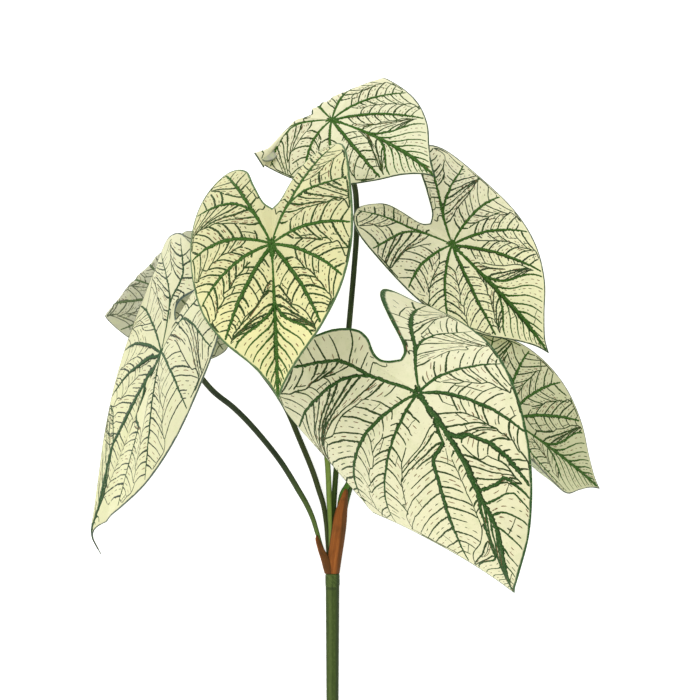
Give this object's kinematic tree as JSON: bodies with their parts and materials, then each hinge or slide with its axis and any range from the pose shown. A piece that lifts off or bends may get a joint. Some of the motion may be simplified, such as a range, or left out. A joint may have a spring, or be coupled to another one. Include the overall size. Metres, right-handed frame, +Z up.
{
  "type": "caladium leaf spray",
  "caption": "Cut caladium spray lying on its back: heart-shaped cream leaves with green branching veins on slim petioles, rising from a round stem between brown papery sheaths.",
  "frame": {"origin": "middle of the footprint, on the surface that the spray lies on", "axes": "+Y along the stem toward the leaves, +Z up out of the surface, +X to the right of a viewer who looks down on the spray with the cut end toward them"},
  "size_m": [0.391, 0.5608, 0.2347],
  "materials": {
    "leaf": "matte, cream with green branching veins and a thin green margin",
    "petiole": "satin green, faint lengthwise streaks",
    "sheath": "dry rust brown with lengthwise fibres",
    "stem": "matte green tape wrap"
  },
  "bodies": {
    "root": {"stem": "stem", "sheath_tall": "sheath", "sheath_short": "sheath", "petiole_front": "petiole", "petiole_centre": "petiole", "petiole_upper_right": "petiole", "petiole_top": "petiole", "petiole_left": "petiole", "petiole_lower_right": "petiole", "petiole_back_left": "petiole", "leaf_front": "leaf", "leaf_centre": "leaf", "leaf_upper_right": "leaf", "leaf_top": "leaf", "leaf_left": "leaf", "leaf_lower_right": "leaf", "leaf_back_left": "leaf"}
  },
  "joints": []
}
